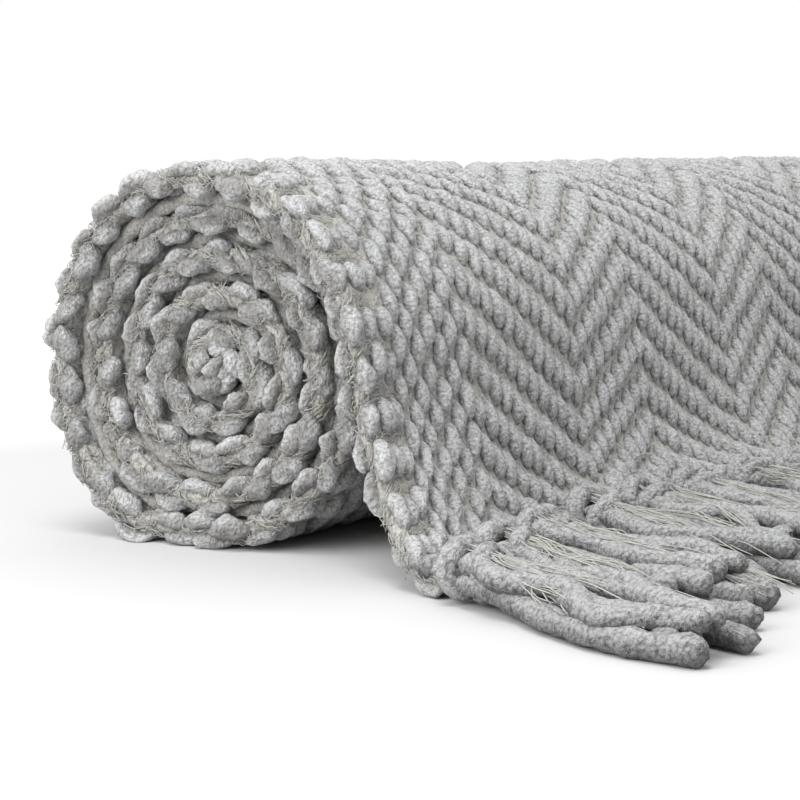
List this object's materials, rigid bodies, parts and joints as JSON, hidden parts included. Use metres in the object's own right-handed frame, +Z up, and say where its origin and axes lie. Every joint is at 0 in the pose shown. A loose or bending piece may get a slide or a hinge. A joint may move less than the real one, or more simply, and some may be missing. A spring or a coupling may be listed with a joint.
{
  "type": "rolled knit throw blanket",
  "caption": "Chunky chenille throw, rolled up with its loose end draped down the front to a knotted fringe on the surface.",
  "frame": {"origin": "middle of the underside of the whole part's box, on the surface it rests on", "axes": "+X along the roll, away from the end whose corner is pulled out; the loose end and its fringe lie on the -Y side; +Z up"},
  "size_m": [1.3536, 0.3402, 0.1482],
  "materials": {
    "chenille": "soft matte chenille pile, light neutral grey",
    "fringe_yarn": "soft matte chenille pile, light neutral grey, with thin beige threads"
  },
  "bodies": {
    "root": {"roll": "chenille", "loose_end": "chenille", "fringe": "fringe_yarn"}
  },
  "joints": []
}
